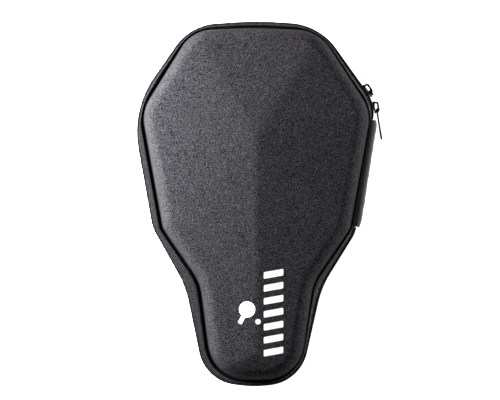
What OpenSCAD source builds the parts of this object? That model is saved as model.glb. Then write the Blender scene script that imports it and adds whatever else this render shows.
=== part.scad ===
// Moulded clamshell case for a table tennis bat.
// +X is to the right of the lid, +Y runs from the handle to the head, +Z points out of the lid.
// The origin is on the flat back, on the case's centre line, halfway along it.

/* [Outline] */
// Overall length of the case
case_length = 300; // [285:1:315]
// Width of the case over its flange
head_width = 196; // [186:1:206]
// Distance from the flange's shell line to the rounded edge's centre line
edge_run = 9.5; // [9:0.5:11]

/* [Depth] */
// Depth of the rear tray, back face to flange
rear_depth = 20; // [18:1:24]
// Height of the zip band between the two flanges
band_height = 12; // [11:1:14]
// Height of the lid's crown above its flange
crown_rise = 23; // [21:1:26]
// Height of the lid's corners above its flange
corner_rise = 14.5; // [13:0.5:16]

/* [Moulding] */
// Thickness of the moulded foam wall
wall = 3; // [2.5:0.5:3.5]
// Thickness of the pressed flange
flange_thickness = 3; // [2.5:0.5:3.5]
// Radius of the moulding's outer edges
edge_radius = 8; // [7:0.5:8]
// Width of the stitch groove round the wall's foot
groove_width = 1.8; // [1.4:0.2:2]
// Depth of the stitch groove
groove_depth = 1.2; // [0.8:0.2:1.4]

/* [Zip] */
// Thickness of the zip tape
tape_thickness = 1.2; // [1:0.1:1.4]
// Thickness of the coil, through the band
coil_thickness = 2.4; // [2.2:0.1:2.6]
// Height of each half of the coil
coil_height = 2.4; // [2:0.1:2.6]
// Gap between the two halves of the coil
coil_gap = 1.6; // [1.5:0.1:1.8]
// Length of a slider's plates
slider_length = 10.5; // [9.5:0.5:11]
// Length of a pull tab
pull_length = 26; // [18:1:26]
// Width of a pull tab
pull_width = 7; // [5.5:0.5:7]

/* [Hinge] */
// Lower end of the fabric hinge, measured along the case
hinge_low_y = -19; // [-22:1:-10]
// Upper end of the fabric hinge
hinge_high_y = 69; // [60:1:70]

/* [Inside] */
// Width of the elastic strap over the bat's handle
strap_width = 25; // [20:1:30]
// Height of the strap's arch
strap_rise = 21; // [18:1:23]
// Place of the ball net's mouth along the case
net_mouth_y = 30; // [20:1:40]

/* [Hidden] */

// The outline was laid out at these sizes and stretches with the two driving ones.
LAYOUT_LENGTH = 300;
LAYOUT_WIDTH = 196;
kx = head_width / LAYOUT_WIDTH;
ky = case_length / LAYOUT_LENGTH;

// Heights, from the flat back up.
rear_flange_z = rear_depth - flange_thickness;
lid_flange_z = rear_depth + band_height;
lid_face_z = lid_flange_z + flange_thickness;
middle_z = rear_depth + band_height / 2;
crown_z = lid_face_z + crown_rise;
corner_z = lid_face_z + corner_rise;
neck_z = corner_z + 1;
handle_end_z = corner_z - 1.5;
top_z = corner_z + 1;

// Corners of the flange: x, y, corner radius. Counter-clockwise from the head's end.
flange_outline = sized([[0, 151, 300], [-54.5, 147.6, 45], [-103.2, 77.6, 80],
    [-85.6, -19.8, 35], [-58.5, -67.9, 80], [-42.3, -146, 34], [-2, -151, 100],
    [36.4, -146.4, 35], [54, -68.6, 80], [81.9, -23.7, 30], [98.4, 82.5, 30], [51.8, 147.8, 50]]);
LOWER_HINGE_CORNER = 9;
UPPER_HINGE_CORNER = 10;

// Corners of the moulded wall's foot: x, y, corner radius, height of the lid's edge there.
// The right side keeps a narrower flange than the left.
head_end = [0, 146.5, 300, top_z];
handle_end = [0, -146.9, 110, handle_end_z];
head_left = [[-53.6, 144.3, 32, top_z], [-95.8, 76.5, 34, corner_z], [-78.2, -20.6, 14, corner_z]];
head_right = [[78, -20.6, 14, corner_z], [95.3, 76.5, 34, corner_z], [51.4, 143.9, 36, top_z]];
handle_left = [-37.4, -144.6, 34, handle_end_z];
handle_right = [36.2, -144.6, 34, handle_end_z];
NECK_RADIUS = 40;
neck_left = [-47.6, -65.2, NECK_RADIUS, neck_z];
neck_right = [47.4, -65.2, NECK_RADIUS, neck_z];
wall_foot = sized(concat([head_end], head_left, [neck_left, handle_left, handle_end, handle_right,
    neck_right], head_right));

// The moulding is two convex pieces, and the handle's starts inside the head's.
SHARP_RADIUS = 12;
START_Y = -45;
START_X = 45;
neck_left_sharp = [neck_left.x, neck_left.y, SHARP_RADIUS, neck_z];
neck_right_sharp = [neck_right.x, neck_right.y, SHARP_RADIUS, neck_z];
head_foot = sized(concat([head_end], head_left, [neck_left_sharp, neck_right_sharp], head_right));
handle_foot = sized([[-START_X, START_Y, SHARP_RADIUS, neck_z], neck_left_sharp, handle_left, handle_end,
    handle_right, neck_right_sharp, [START_X, START_Y, SHARP_RADIUS, neck_z]]);

// The lid's centre ridge: x, y, radius unused, height of the surface.
apex = [0, 56 * ky, 0, crown_z];
ridge_neck = [0, -62 * ky, 0, crown_z - 4];
ridge_end = [0, -124 * ky, 0, crown_z - 8];

ARC_STEP = 9;
KNOT_FACETS = 24;
EPS = 0.01;

// Points of a list stretched from the layout to the driving sizes.
function sized(points) = [for (p = points) concat([p.x * kx, p.y * ky], [for (i = [2:len(p) - 1]) p[i]])];

function xy(p) = [p.x, p.y];
function unit(v) = v / norm(v);
function left_of(v) = [-v.y, v.x];
function turned(v, angle) = [v.x * cos(angle) - v.y * sin(angle), v.x * sin(angle) + v.y * cos(angle)];
function wrap(points, i) = points[(i + len(points)) % len(points)];
function heading(points, i) = unit(xy(wrap(points, i + 1)) - xy(wrap(points, i)));
function bend(points, i) = let (a = heading(points, i - 1), b = heading(points, i))
    atan2(cross(a, b), a * b);

// An outline's corners moved inwards by d, with their radii kept concentric.
function inset(points, d) = [for (i = [0:len(points) - 1])
    let (p = points[i], a = left_of(heading(points, i - 1)), b = left_of(heading(points, i)),
        moved = xy(p) + d * (a + b) / (1 + a * b), way = sign(bend(points, i)))
    [moved.x, moved.y, max(0.3, p[2] - way * d), p[3]]];

// Centre of the arc that rounds corner i, and the arc's points, each with the corner's height.
function arc_centre(points, i) = let (p = points[i], angle = bend(points, i), u = heading(points, i - 1),
        reach = p[2] * tan(abs(angle) / 2))
    xy(p) - u * reach + left_of(u) * p[2] * sign(angle);
function arc_points(points, i) = let (p = points[i], angle = bend(points, i), u = heading(points, i - 1),
        c = arc_centre(points, i), spoke = -left_of(u) * p[2] * sign(angle),
        steps = max(1, ceil(abs(angle) / ARC_STEP)))
    [for (k = [0:steps]) let (q = c + turned(spoke, angle * k / steps)) [q.x, q.y, p[3]]];
function rounded(points) = [for (i = [0:len(points) - 1]) each arc_points(points, i)];
function plan(points) = [for (q = rounded(points)) [q.x, q.y]];

// The hinge edge of the flange, and the frames of the two sliders.
hinge_a = xy(flange_outline[LOWER_HINGE_CORNER]);
hinge_b = xy(flange_outline[UPPER_HINGE_CORNER]);
hinge_way = unit(hinge_b - hinge_a);
hinge_angle = atan2(hinge_way.y, hinge_way.x);
hinge_middle_y = (hinge_low_y + hinge_high_y) / 2;
hinge_middle = hinge_a + hinge_way * (hinge_middle_y - hinge_a.y) / hinge_way.y;
hinge_length = (hinge_high_y - hinge_low_y) / hinge_way.y;

corner_centre = arc_centre(flange_outline, UPPER_HINGE_CORNER);
corner_radius = flange_outline[UPPER_HINGE_CORNER][2];
slant_way = heading(flange_outline, UPPER_HINGE_CORNER);
slant_angle = atan2(slant_way.y, slant_way.x);
slant_start = corner_centre - left_of(slant_way) * corner_radius;
LOWER_SLIDER_TURN = 18;
lower_slider_angle = hinge_angle + LOWER_SLIDER_TURN;
lower_slider_place = corner_centre
    - left_of([cos(lower_slider_angle), sin(lower_slider_angle)]) * corner_radius;
UPPER_SLIDER_ADVANCE = 1.5;
upper_slider_place = slant_start + slant_way * UPPER_SLIDER_ADVANCE;

// Slider, bail and pull sizes, in the slider's own frame: X along the zip, -Y outwards, Z up.
PLATE = 1.3;
OUTER_GAP = 0.6;
INNER_GAP = 1.2;
PLATE_BELOW = 3.6;
PLATE_ABOVE = 2.6;
POST = 1.0;
BAIL_THICKNESS = 1.6;
BAIL_BAR = 1.3;
BAIL_LENGTH = 9;
BAIL_RISE = 3.6;
PULL_THICKNESS = 1.2;
PULL_EYE = 1.5;
plate_out = OUTER_GAP + PLATE;
leg_x = -(BAIL_LENGTH - BAIL_BAR) / 2;
pull_out = plate_out + 0.5;

// A slab of an outline inset by d, between two heights.
module slab(points, d, low, high) {
    translate([0, 0, low])
        linear_extrude(high - low)
            polygon(plan(inset(points, d)));
}

// A band that follows an outline, between two insets and two heights.
module band(points, outer, inner, low, high) {
    difference() {
        slab(points, outer, low, high);
        slab(points, inner, low - 1, high + 1);
    }
}

// Everything along the hinge edge, between its two ends.
module hinge_zone(length, low, high) {
    translate([hinge_middle.x, hinge_middle.y, low])
        rotate(hinge_angle)
            translate([-length / 2, -20, 0])
                cube([length, 40, high - low]);
}

// A run of the zip: all round the flange except along the hinge.
module zip_run(outer, inner, low, high) {
    difference() {
        band(flange_outline, outer, inner, low, high);
        hinge_zone(hinge_length, low - 1, high + 1);
    }
}

// A ball that rounds the moulding at one point of its edge, shrunk by d.
module knot(x, y, z, d) {
    translate([x, y, z])
        sphere(r = edge_radius - d, $fn = KNOT_FACETS);
}

// One convex piece of a moulding: its foot, its rounded rim and its ridge points.
module lid_hull(foot, ridge, d, foot_z) {
    hull() {
        slab(foot, d + groove_width / 2, foot_z, lid_face_z);
        for (q = rounded(inset(foot, edge_run)))
            knot(q.x, q.y, q.z - edge_radius, d);
        for (p = ridge)
            knot(p.x, p.y, p[3] - edge_radius, d);
    }
}

module tray_hull(foot, d, foot_z) {
    hull() {
        slab(foot, d + groove_width / 2, rear_flange_z, foot_z);
        for (q = rounded(inset(foot, edge_run)))
            knot(q.x, q.y, edge_radius, d);
    }
}

module lid_form(d, foot_z) {
    lid_hull(head_foot, [apex, ridge_neck], d, foot_z);
    lid_hull(handle_foot, [ridge_neck, ridge_end], d, foot_z);
}

module tray_form(d, foot_z) {
    tray_hull(head_foot, d, foot_z);
    tray_hull(handle_foot, d, foot_z);
}

module groove(low) {
    band(wall_foot, -groove_width / 2, groove_width / 2, low, low + groove_depth + 1);
}

module rear_shell() {
    color("#3a3a3e")
        difference() {
            union() {
                slab(flange_outline, tape_thickness, rear_flange_z, rear_depth);
                tray_form(0, rear_depth - EPS);
                slab(wall_foot, edge_run, 0, wall);
            }
            tray_form(wall, rear_depth + 2);
            groove(rear_flange_z - 1);
        }
}

module front_shell() {
    color("#46464b")
        difference() {
            union() {
                slab(flange_outline, tape_thickness, lid_flange_z, lid_face_z);
                lid_form(0, lid_flange_z + EPS);
            }
            lid_form(wall, lid_flange_z - 2);
            groove(lid_face_z - groove_depth);
        }
}

LINING_GAP = 0.1;
LINING = 0.9;

module rear_lining() {
    color("#2c2c30")
        difference() {
            tray_form(wall + LINING_GAP, rear_depth - 1);
            tray_form(wall + LINING_GAP + LINING, rear_depth + 1);
        }
}

module front_lining() {
    color("#2c2c30")
        difference() {
            lid_form(wall + LINING_GAP, lid_flange_z + 1);
            lid_form(wall + LINING_GAP + LINING, lid_flange_z - 1);
        }
}

rear_coil_z = middle_z - coil_gap / 2 - coil_height;
front_coil_z = middle_z + coil_gap / 2;
TAPE_INSET = 0.2;

module rear_zip_tape() {
    color("#1f1f21")
        zip_run(0, tape_thickness, rear_flange_z, rear_coil_z);
}

module front_zip_tape() {
    color("#1f1f21")
        zip_run(0, tape_thickness, front_coil_z + coil_height, lid_face_z);
}

module rear_zip_coil() {
    color("#141415")
        zip_run(0, coil_thickness, rear_coil_z, rear_coil_z + coil_height);
}

module front_zip_coil() {
    color("#141415")
        zip_run(0, coil_thickness, front_coil_z, front_coil_z + coil_height);
}

BINDING = 0.6;
BINDING_WIDTH = 4.5;

module rear_seam_binding() {
    color("#242427")
        band(flange_outline, tape_thickness + TAPE_INSET, tape_thickness + BINDING_WIDTH,
            rear_depth, rear_depth + BINDING);
}

module front_seam_binding() {
    color("#242427")
        band(flange_outline, tape_thickness + TAPE_INSET, tape_thickness + BINDING_WIDTH,
            lid_flange_z - BINDING, lid_flange_z);
}

THREAD = 0.6;

module rear_seam_thread() {
    color("#0f0f10")
        band(wall_foot, -THREAD / 2, THREAD / 2, rear_flange_z + groove_depth - THREAD,
            rear_flange_z + groove_depth);
}

module front_seam_thread() {
    color("#0f0f10")
        band(wall_foot, -THREAD / 2, THREAD / 2, lid_face_z - groove_depth,
            lid_face_z - groove_depth + THREAD);
}

PANEL = 1.0;
PANEL_LEG = 1.4;
PANEL_GAP = 0.05;
PANEL_BULGE = 2.9;

// The fabric hinge: a channel section that laps over both flanges.
module hinge_panel() {
    color("#4a4342")
        translate([hinge_middle.x, hinge_middle.y, 0])
            rotate(hinge_angle)
                translate([-hinge_length / 2, 0, 0])
                    difference() {
                        translate([0, -PANEL_BULGE, rear_flange_z - PANEL_GAP - PANEL])
                            cube([hinge_length, PANEL_BULGE + PANEL_LEG,
                                lid_face_z - rear_flange_z + 2 * (PANEL + PANEL_GAP)]);
                        translate([-1, PANEL - PANEL_BULGE, rear_flange_z - PANEL_GAP])
                            cube([hinge_length + 2, PANEL_BULGE + PANEL_LEG,
                                lid_face_z - rear_flange_z + 2 * PANEL_GAP]);
                    }
}

TACK = [1.6, 1.8, 0.4];
TACK_INSET = 1.3;
TACK_GAP = 0.05;

// A bar tack on the flange beyond each end of the hinge panel.
module bar_tacks(z) {
    for (side = [-1, 1])
        translate([hinge_middle.x, hinge_middle.y, z])
            rotate(hinge_angle)
                translate([side * (hinge_length / 2 + TACK.x) - TACK.x / 2, TACK_INSET, 0])
                    cube(TACK);
}

module rear_bar_tacks() {
    color("#b9b9bd")
        bar_tacks(rear_flange_z - TACK.z - TACK_GAP);
}

module front_bar_tacks() {
    color("#b9b9bd")
        bar_tacks(lid_face_z + TACK_GAP);
}

module at_upper_slider() {
    translate([upper_slider_place.x, upper_slider_place.y, middle_z])
        rotate(slant_angle)
            children();
}

module at_lower_slider() {
    translate([lower_slider_place.x, lower_slider_place.y, middle_z])
        rotate(lower_slider_angle)
            children();
}

module slider_body() {
    half = slider_length / 2;
    height = PLATE_BELOW + PLATE_ABOVE;
    translate([-half, -plate_out, -PLATE_BELOW])
        cube([slider_length, PLATE, height]);
    translate([-half, coil_thickness + INNER_GAP, -PLATE_BELOW])
        cube([slider_length, PLATE, height]);
    translate([1, -plate_out + EPS, -POST / 2])
        cube([2.4, plate_out + coil_thickness + INNER_GAP + PLATE - 2 * EPS, POST]);
}

// The bail: a flat arch that stands on the outer plate.
module slider_bail() {
    outer = [[-BAIL_LENGTH / 2, 0, 0.3], [-BAIL_LENGTH / 2, -BAIL_RISE, 1.8],
        [BAIL_LENGTH / 2, -BAIL_RISE, 1.8], [BAIL_LENGTH / 2, 0, 0.3]];
    translate([0, -plate_out, -BAIL_THICKNESS / 2])
        linear_extrude(BAIL_THICKNESS)
            difference() {
                polygon(plan(outer));
                translate([-BAIL_LENGTH / 2 + BAIL_BAR, -BAIL_RISE + BAIL_BAR])
                    square([BAIL_LENGTH - 2 * BAIL_BAR, BAIL_RISE]);
            }
}

// A pull tab with its eye round the bail's lower leg, pointing along -X before it is turned.
module pull_tab() {
    neck = pull_width * 0.7;
    translate([leg_x, -pull_out, 0])
        rotate([90, 0, 0])
            linear_extrude(PULL_THICKNESS)
                difference() {
                    polygon(plan([[2.3, neck / 2, 1.6], [-pull_length * 0.55, neck / 2, 6],
                        [-pull_length + 2.5, pull_width / 2, 2], [-pull_length + 2.5, -pull_width / 2, 2],
                        [-pull_length * 0.55, -neck / 2, 6], [2.3, -neck / 2, 1.6]]));
                    circle(r = PULL_EYE, $fn = 32);
                }
}

module upper_slider_body() {
    color("#18181a")
        at_upper_slider() slider_body();
}

module upper_slider_bail() {
    color("#18181a")
        at_upper_slider() slider_bail();
}

// The upper tab hangs straight down from its bail.
module upper_pull_tab() {
    color("#111112")
        at_upper_slider()
            translate([leg_x, 0, 0])
                rotate([0, -90, 0])
                    translate([-leg_x, 0, 0])
                        pull_tab();
}

module lower_slider_body() {
    color("#18181a")
        at_lower_slider() slider_body();
}

module lower_slider_bail() {
    color("#18181a")
        at_lower_slider() slider_bail();
}

// The lower tab lies in line with the zip.
module lower_pull_tab() {
    color("#111112")
        at_lower_slider() pull_tab();
}

STRAP = 1.2;
STRAP_Y = -98;
lined_floor = wall + LINING_GAP + LINING;
FOOT_GAP = 0.2;

// An elastic band arched over the bat's handle.
module bat_strap() {
    color("#202022")
        translate([0, STRAP_Y * ky + strap_width / 2, lined_floor + FOOT_GAP])
            rotate([90, 0, 0])
                linear_extrude(strap_width)
                    intersection() {
                        difference() {
                            circle(r = strap_rise, $fn = 96);
                            circle(r = strap_rise - STRAP, $fn = 96);
                        }
                        translate([-strap_rise, 0])
                            square([2 * strap_rise, strap_rise]);
                    }
}

PATCH = [5, 0.8];

// Stitched patches that hold the strap's two feet.
module strap_patches() {
    color("#29292c")
        for (side = [-1, 1])
            translate([side * (strap_rise + PATCH.x / 2 + 0.1) - PATCH.x / 2,
                STRAP_Y * ky - strap_width / 2 - 1, lined_floor + FOOT_GAP])
                cube([PATCH.x, strap_width + 2, PATCH.y]);
}

NET = 0.8;
NET_MARGIN = 8;
net_z = lid_flange_z + 1.4;

// The net that keeps spare balls in the lid's lower head.
module ball_net() {
    color("#262628")
        intersection() {
            slab(wall_foot, NET_MARGIN, net_z, net_z + NET);
            translate([-100, -70 * ky, net_z - 1])
                cube([200, net_mouth_y + 70 * ky, NET + 2]);
        }
}

ELASTIC = 2.6;
net_mouth_half = 72 * kx;

module net_elastic() {
    color("#1b1b1d")
        translate([-net_mouth_half, net_mouth_y, net_z - 0.6])
            cube([2 * net_mouth_half, ELASTIC, 2]);
}

MARK = 0.25;
MARK_GAP = 0.05;
STRIPES = 7;
STRIPE_PITCH = 10.6;

// The printed device: a bat and ball, and a column of slanted stripes.
module mark_outline() {
    translate([-7.6, -86])
        rotate(-28)
            union() {
                circle(r = 6.6, $fn = 48);
                translate([-1.6, -13])
                    square([3.2, 8]);
            }
    translate([1.4, -96])
        circle(r = 2.2, $fn = 32);
    for (i = [0:STRIPES - 1])
        translate([14, -121 + i * STRIPE_PITCH])
            polygon([[-8, -3.6], [8, -0.8], [8, 4.6], [-8, 1.8]]);
}

module printed_mark() {
    color("#f2f2f2")
        intersection() {
            difference() {
                lid_form(-MARK, lid_flange_z);
                lid_form(-MARK_GAP, lid_flange_z);
            }
            translate([0, 0, lid_face_z])
                linear_extrude(crown_rise)
                    scale([kx, ky])
                        mark_outline();
        }
}

rear_shell();
front_shell();
rear_lining();
front_lining();
rear_zip_tape();
front_zip_tape();
rear_zip_coil();
front_zip_coil();
rear_seam_binding();
front_seam_binding();
rear_seam_thread();
front_seam_thread();
hinge_panel();
rear_bar_tacks();
front_bar_tacks();
upper_slider_body();
upper_slider_bail();
upper_pull_tab();
lower_slider_body();
lower_slider_bail();
lower_pull_tab();
bat_strap();
strap_patches();
ball_net();
net_elastic();
printed_mark();
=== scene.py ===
"""Hard case for a table tennis bat: its looks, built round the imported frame.
"""

import math

import bmesh
import bpy
from mathutils import Matrix, Vector, kdtree, noise
from mathutils.geometry import intersect_line_line_2d
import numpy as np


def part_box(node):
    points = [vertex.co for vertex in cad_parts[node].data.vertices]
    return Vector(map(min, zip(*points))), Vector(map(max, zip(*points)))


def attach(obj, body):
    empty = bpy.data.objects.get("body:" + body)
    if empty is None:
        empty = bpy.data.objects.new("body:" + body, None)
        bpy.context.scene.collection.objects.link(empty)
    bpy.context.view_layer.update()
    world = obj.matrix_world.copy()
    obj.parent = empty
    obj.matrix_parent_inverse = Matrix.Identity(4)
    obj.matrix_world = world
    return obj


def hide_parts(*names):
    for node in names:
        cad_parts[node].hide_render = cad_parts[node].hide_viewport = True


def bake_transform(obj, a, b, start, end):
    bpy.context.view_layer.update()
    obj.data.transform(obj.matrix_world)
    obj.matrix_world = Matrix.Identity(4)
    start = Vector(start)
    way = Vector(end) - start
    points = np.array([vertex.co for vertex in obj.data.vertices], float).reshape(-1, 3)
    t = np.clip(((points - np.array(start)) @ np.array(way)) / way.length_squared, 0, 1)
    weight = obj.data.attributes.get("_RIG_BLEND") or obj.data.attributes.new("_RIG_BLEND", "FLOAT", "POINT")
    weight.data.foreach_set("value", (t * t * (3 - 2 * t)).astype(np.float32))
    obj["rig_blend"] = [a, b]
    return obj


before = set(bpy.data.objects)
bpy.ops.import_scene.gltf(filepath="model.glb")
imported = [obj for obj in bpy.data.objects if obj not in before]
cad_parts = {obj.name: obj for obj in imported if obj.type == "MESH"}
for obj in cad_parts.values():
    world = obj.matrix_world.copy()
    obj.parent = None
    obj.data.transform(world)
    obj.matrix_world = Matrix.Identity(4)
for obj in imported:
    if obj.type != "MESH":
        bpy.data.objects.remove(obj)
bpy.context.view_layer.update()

MM = 0.001

# Heights, from the flat back up.
TRAY_FACE = 17
TRAY_RIM = 20
MIDDLE = 26
LID_RIM = 32
LID_FACE = 35
CROWN = 58

# The mouldings.
FLANGE_THICKNESS = 3
WALL = 3
EDGE_RADIUS = 10
WALL_TOP_INSET = 1.9
WALL_FOOT_INSET = 1.3
GROOVE_DEPTH = 2.4
LINING_GAP = 0.1
LINING = 0.8
TAPE = 1.2

# Cuts and joins closer than this are the same point.
TINY = 0.0005
# Pitch of the grids that flat faces are cut into.
COARSE_GRID = 12
LINING_GRID = 4
FINE_GRID = 2
# A face of a skin with corners further apart than this spans the end of its rows.
ROW_END_SPAN = 100
STANDING = Vector((0, 0, 1))

scene = bpy.context.scene
add_to_scene = scene.collection.objects.link


def left_of(way):
    return Vector((-way.y, way.x))


def turned(way, angle):
    return Vector((way.x * math.cos(angle) - way.y * math.sin(angle),
                   way.x * math.sin(angle) + way.y * math.cos(angle)))


class Outline:
    """A closed, counter-clockwise outline of straight edges and rounded corners."""

    def __init__(self, corners):
        rounded = []
        for i, (x, y, radius) in enumerate(corners):
            corner = Vector((x, y))
            before = (corner - Vector(corners[i - 1][:2])).normalized()
            after = (Vector(corners[(i + 1) % len(corners)][:2]) - corner).normalized()
            turn = math.atan2(before.cross(after), before.dot(after))
            reach = radius * math.tan(abs(turn) / 2)
            rounded.append((corner - before * reach, corner + after * reach, before, radius, turn))
        self.runs = []
        for i, (start, end, way, radius, turn) in enumerate(rounded):
            straight = rounded[(i + 1) % len(rounded)][0] - end
            self.runs.append((abs(turn) * radius, start, way, turn))
            self.runs.append((straight.length, end, straight.normalized(), 0.0))
        self.length = sum(run[0] for run in self.runs)

    def at(self, distance):
        """The point and the outward direction at a distance along the outline."""
        distance %= self.length
        for length, start, way, turn in self.runs:
            if distance <= length:
                break
            distance -= length
        heading = turned(way, turn * distance / length)
        out = -left_of(heading)
        if not turn:
            return start + way * distance, out
        spoke = length / turn
        return start + left_of(way) * spoke + out * spoke, out

    def walk(self, count, first=0.0, last=None):
        """Evenly spaced points with their outward directions, all round or between two distances."""
        if last is None:
            return [self.at(self.length * i / count) for i in range(count)]
        return [self.at(first + (last - first) * i / (count - 1)) for i in range(count)]

    def distance_at(self, x, y):
        """Distance along the outline of its point nearest to x, y."""
        steps = 4000
        places = ((self.at(self.length * i / steps)[0], i) for i in range(steps))
        return self.length * min(((p - Vector((x, y))).length, i) for p, i in places)[1] / steps


FLANGE = Outline([
    (0, 151, 300), (-54.5, 147.6, 45), (-103.2, 77.6, 80), (-85.6, -19.8, 35), (-58.5, -67.9, 80),
    (-42.3, -146, 34), (-2, -151, 100), (36.4, -146.4, 35), (54, -68.6, 80), (81.9, -23.7, 30),
    (98.4, 82.5, 30), (51.8, 147.8, 50)])
FOOT = Outline([
    (0, 146.5, 300), (-53.6, 144.3, 32), (-95.8, 76.5, 34), (-78.2, -20.6, 14), (-47.6, -65.2, 40),
    (-37.4, -144.6, 34), (0, -146.9, 110), (36.2, -144.6, 34), (47.4, -65.2, 40), (78, -20.6, 14),
    (95.3, 76.5, 34), (51.4, 143.9, 36)])

# The straight run of the flange that the fabric hinge closes.
HINGE_A = Vector((81.9, -23.7))
HINGE_B = Vector((98.4, 82.5))
HINGE_WAY = (HINGE_B - HINGE_A).normalized()
HINGE_OUT = -left_of(HINGE_WAY)
HINGE_LOW_Y = -19
HINGE_HIGH_Y = 69.5


def on_hinge(y):
    return HINGE_A + HINGE_WAY * (y - HINGE_A.y) / HINGE_WAY.y


# ---------------- shapes

RIDGE_SOFTNESS = 0.1
APEX_Y = 56
# The handle's end facet: its rise along y, and where it meets the handle's facet.
END_RISE = 0.2
END_Y = -121
# Fall of each facet along x and its rise along y, from the apex.
FACETS = [(0.0, -0.0954), (-0.0891, -0.0405), (-0.1022, 0.0195), (-0.0762, 0.0444)]


def lid_top(x, y):
    """Height of the lid's faceted top over its flange face."""
    up = y - APEX_Y
    falls = [FACETS[0][1] * up]
    for fall, rise in FACETS[1:]:
        falls += [fall * x + rise * up, -fall * x + rise * up]
    falls.append(END_RISE * (y - END_Y) + FACETS[3][1] * (END_Y - APEX_Y))
    low = min(falls)
    spread = sum(math.exp((low - fall) / RIDGE_SOFTNESS) for fall in falls)
    return CROWN - LID_FACE + low - RIDGE_SOFTNESS * math.log(spread)


def tray_top(x, y):
    """Depth of the tray's flat back under its flange face."""
    return TRAY_FACE


def verts_in(geom):
    return [item for item in geom if isinstance(item, bmesh.types.BMVert)]


class Sweep:
    """A skin drawn out row by row. Each row is a closed or an open line of points.

    Its points carry two marks: crease, how much painted shade they take, and a second one, how much painted
    light.
    """

    def __init__(self, places, closed=True):
        self.bm = bmesh.new()
        for name in ("crease", "pale"):
            self.bm.verts.layers.float.new(name)
        self.crease = self.bm.verts.layers.float["crease"]
        self.pale = self.bm.verts.layers.float["pale"]
        self.closed = closed
        row = bmesh.ops.create_circle(self.bm, segments=len(places), radius=1)["verts"]
        if not closed:
            self.bm.edges.remove(self.bm.edges.get((row[-1], row[0])))
        self.rows = [row]
        self.set_places(row, places)

    def set_places(self, row, places):
        for vert, place in zip(row, places):
            vert.co = place

    def edges(self, row):
        ends = row[1:] + row[:1] if self.closed else row[1:]
        return [self.bm.edges.get(pair) for pair in zip(row, ends)]

    def draw(self, places):
        row = self.rows[-1]
        fresh = set(verts_in(bmesh.ops.extrude_edge_only(self.bm, edges=self.edges(row))["geom"]))
        following = []
        for vert in row:
            others = [edge.other_vert(vert) for edge in vert.link_edges]
            following.append(next(other for other in others if other in fresh))
        self.rows.append(following)
        self.set_places(following, places)

    def lay_out(self):
        """Unwraps the skin in metres: u along the rows, v across them."""
        layer = self.bm.loops.layers.uv.new("layout")
        spots = {}
        across = 0.0
        for number, row in enumerate(self.rows):
            if number:
                gaps = [(a.co - b.co).length for a, b in zip(row, self.rows[number - 1])]
                across += sum(gaps) / len(gaps)
            along = 0.0
            for i, vert in enumerate(row):
                if i:
                    along += (self.rows[0][i].co - self.rows[0][i - 1].co).length
                spots[vert] = (along, across)
        for face in self.bm.faces:
            ends = [spots[loop.vert][0] for loop in face.loops if loop.vert in spots]
            wraps = ends and max(ends) - min(ends) > ROW_END_SPAN
            for loop in face.loops:
                along, across = spots.get(loop.vert, (0.0, 0.0))
                if wraps and along < ROW_END_SPAN:
                    along += FLANGE.length
                loop[layer].uv = (along * MM, across * MM)

    def cap(self, row):
        return bmesh.ops.contextual_create(self.bm, geom=self.edges(row))["faces"][0]

    def close_round(self, places):
        """Draws the last row back on the first one and fills the two ends."""
        self.draw(places)
        self.lay_out()
        bmesh.ops.remove_doubles(self.bm, verts=self.rows[0] + self.rows[-1], dist=0.001)
        if not self.closed:
            open_edges = [edge for edge in self.bm.edges if edge.is_boundary]
            bmesh.ops.holes_fill(self.bm, edges=open_edges, sides=0)


def sweep_section(row, section, closed=True):
    """Draws a skin through the steps of a section, each turned into points by row."""
    skin = Sweep(row(*section[0]), closed)
    for step in section[1:]:
        skin.draw(row(*step))
    return skin


def cut_along(bm, geom, way, steps, pitch):
    """Cuts geometry by planes across a direction, a pitch apart."""
    for i in steps:
        cut = bmesh.ops.bisect_plane(bm, geom=geom, dist=TINY, plane_co=way * i * pitch, plane_no=way)
        geom = cut["geom"]
    return geom


def slice_up(bm, face, step, top):
    """Cuts a flat face into a square grid and lays it on a surface."""
    geom = [face, *face.edges, *face.verts]
    xs = [vert.co.x for vert in face.verts]
    ys = [vert.co.y for vert in face.verts]
    for spread, way in ((xs, Vector((1, 0, 0))), (ys, Vector((0, 1, 0)))):
        steps = range(math.floor(min(spread) / step), math.ceil(max(spread) / step) + 1)
        geom = cut_along(bm, geom, way, steps, step)
    for vert in verts_in(geom):
        vert.co.z = top(vert.co.x, vert.co.y)


def make_piece(name, bm, finish, body, stands_for=(), crease=40):
    """Turns a finished mesh into a piece that rides on a body."""
    bmesh.ops.remove_doubles(bm, verts=bm.verts, dist=TINY)
    bmesh.ops.recalc_face_normals(bm, faces=bm.faces)
    bmesh.ops.scale(bm, vec=(MM, MM, MM), verts=bm.verts)
    mesh = bpy.data.meshes.new(name)
    bm.to_mesh(mesh)
    bm.free()
    return dress(name, mesh, finish, body, stands_for, crease)


def dress(name, mesh, finish, body, stands_for=(), crease=40):
    mesh.shade_smooth()
    mesh.set_sharp_from_angle(angle=math.radians(crease))
    mesh.materials.clear()
    for layer in finish if isinstance(finish, list) else [finish]:
        mesh.materials.append(layer)
    piece = bpy.data.objects.new(name, mesh)
    add_to_scene(piece)
    if body:
        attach(piece, body)
    if stands_for:
        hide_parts(*stands_for)
    return piece


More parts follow.
